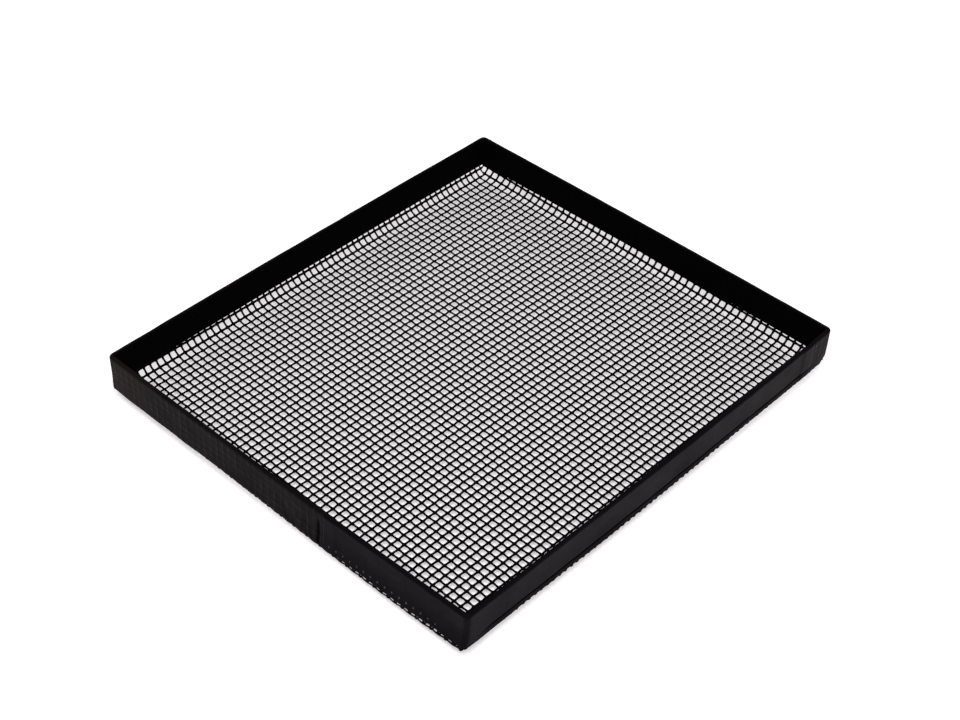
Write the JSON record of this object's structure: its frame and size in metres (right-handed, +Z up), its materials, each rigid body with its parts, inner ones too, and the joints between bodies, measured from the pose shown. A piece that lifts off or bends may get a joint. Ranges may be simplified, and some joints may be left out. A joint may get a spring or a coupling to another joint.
{
  "type": "mesh oven basket",
  "caption": "Shallow rectangular oven basket with a black coated open-mesh floor, low side walls closed in by a smooth folded band over a flat steel hoop",
  "frame": {"origin": "middle of the basket's footprint, on the underside of the mesh floor", "axes": "+Z up out of the open top; +Y along the longer side, towards the back wall; +X across, towards the right wall"},
  "size_m": [0.2752, 0.3092, 0.0265],
  "materials": {
    "hoop_steel": "bare stainless strip, hidden in the band",
    "coated_mesh": "woven glass yarn under a black non-stick coating, faintly glossy",
    "coated_band": "smooth coated glass cloth, satin"
  },
  "bodies": {
    "root": {"rim_hoop": "hoop_steel", "floor_warp_strands": "coated_mesh", "floor_weft_strands": "coated_mesh", "mesh_wall_left": "coated_mesh", "mesh_wall_right": "coated_mesh", "mesh_wall_front": "coated_mesh", "mesh_wall_back": "coated_mesh", "band_front_strip": "coated_band", "band_rear_strip": "coated_band"}
  },
  "joints": []
}
